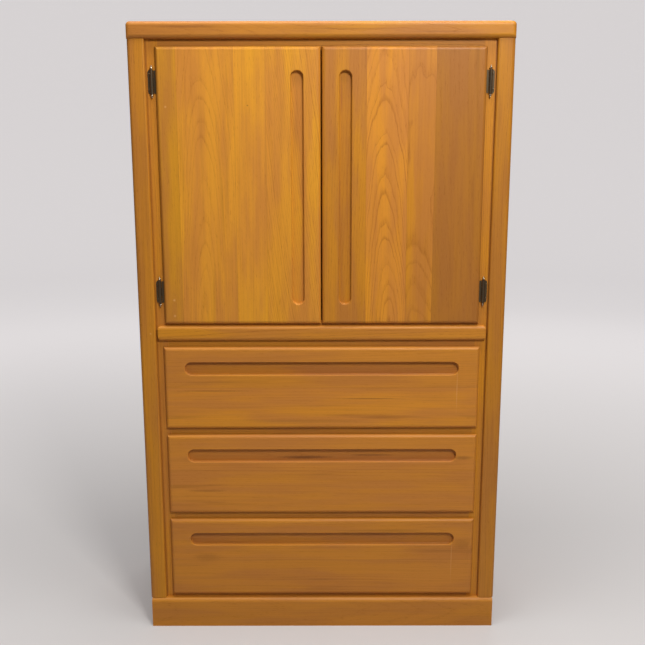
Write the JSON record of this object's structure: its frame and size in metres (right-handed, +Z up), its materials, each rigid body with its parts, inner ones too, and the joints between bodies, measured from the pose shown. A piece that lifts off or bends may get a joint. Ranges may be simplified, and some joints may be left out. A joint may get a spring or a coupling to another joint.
{
  "type": "armoire",
  "caption": "Free-standing oak armoire: a hinged double-door cupboard above full-width drawers, on a plinth, with routed finger slots in place of handles.",
  "frame": {"origin": "on the floor below the middle of the case's overall width and depth", "axes": "+Z up, +Y towards the back so the doors and drawers face -Y, +X to the right of a person facing the front"},
  "size_m": [0.965, 0.47, 1.632],
  "materials": {
    "honey_oak": "satin lacquer",
    "plain_wood": "thin clear lacquer",
    "thin_plywood": "unfinished",
    "aged_brass": "dark antique plating",
    "steel_plate": "zinc plated",
    "catch_plastic": "moulded"
  },
  "bodies": {
    "case": {"back_panel": "thin_plywood", "bottom_panel": "plain_wood", "bottom_rail": "honey_oak", "cupboard_floor": "plain_wood", "cupboard_shelf": "plain_wood", "door_catch": "catch_plastic", "drawer_1_left_runner": "plain_wood", "drawer_1_right_runner": "plain_wood", "drawer_2_left_runner": "plain_wood", "drawer_2_right_runner": "plain_wood", "drawer_3_left_runner": "plain_wood", "drawer_3_right_runner": "plain_wood", "hinge_frame_screws": "aged_brass", "hinge_pins": "aged_brass", "left_hinge_frame_leaves": "aged_brass", "left_inner_stile": "honey_oak", "left_post": "honey_oak", "left_side_panel": "honey_oak", "lower_drawer_rail": "honey_oak", "mid_rail": "honey_oak", "mid_rail_moulding": "honey_oak", "plinth_back": "plain_wood", "plinth_front": "honey_oak", "plinth_left_side": "honey_oak", "plinth_right_side": "honey_oak", "right_hinge_frame_leaves": "aged_brass", "right_inner_stile": "honey_oak", "right_post": "honey_oak", "right_side_panel": "honey_oak", "shelf_pegs": "aged_brass", "top_back_rail": "plain_wood", "top_front_moulding": "honey_oak", "top_left_moulding": "honey_oak", "top_panel": "honey_oak", "top_rail": "honey_oak", "top_right_moulding": "honey_oak", "upper_drawer_rail": "honey_oak"},
    "left_door": {"left_door_panel": "honey_oak", "left_hinge_door_leaves": "aged_brass", "left_hinge_door_screws": "aged_brass", "left_strike_plate": "steel_plate"},
    "right_door": {"right_door_panel": "honey_oak", "right_hinge_door_leaves": "aged_brass", "right_hinge_door_screws": "aged_brass", "right_strike_plate": "steel_plate"},
    "drawer_1": {"drawer_1_front": "honey_oak", "drawer_1_left_side": "plain_wood", "drawer_1_right_side": "plain_wood", "drawer_1_back": "plain_wood", "drawer_1_bottom": "thin_plywood"},
    "drawer_2": {"drawer_2_front": "honey_oak", "drawer_2_left_side": "plain_wood", "drawer_2_right_side": "plain_wood", "drawer_2_back": "plain_wood", "drawer_2_bottom": "thin_plywood"},
    "drawer_3": {"drawer_3_front": "honey_oak", "drawer_3_left_side": "plain_wood", "drawer_3_right_side": "plain_wood", "drawer_3_back": "plain_wood", "drawer_3_bottom": "thin_plywood"}
  },
  "joints": [
    {"name": "left_door_swing", "type": "hinge", "parent": "case", "child": "left_door", "pos_m": [-0.424, -0.2225, 1.222], "axis": [0, 0, -1], "range_deg": [0, 130]},
    {"name": "right_door_swing", "type": "hinge", "parent": "case", "child": "right_door", "pos_m": [0.424, -0.2225, 1.222], "axis": [0, 0, 1], "range_deg": [0, 130]},
    {"name": "drawer_1_slide", "type": "slide", "parent": "case", "child": "drawer_1", "axis": [0, -1, 0], "range_m": [0, 0.32]},
    {"name": "drawer_2_slide", "type": "slide", "parent": "case", "child": "drawer_2", "axis": [0, -1, 0], "range_m": [0, 0.32]},
    {"name": "drawer_3_slide", "type": "slide", "parent": "case", "child": "drawer_3", "axis": [0, -1, 0], "range_m": [0, 0.32]}
  ]
}
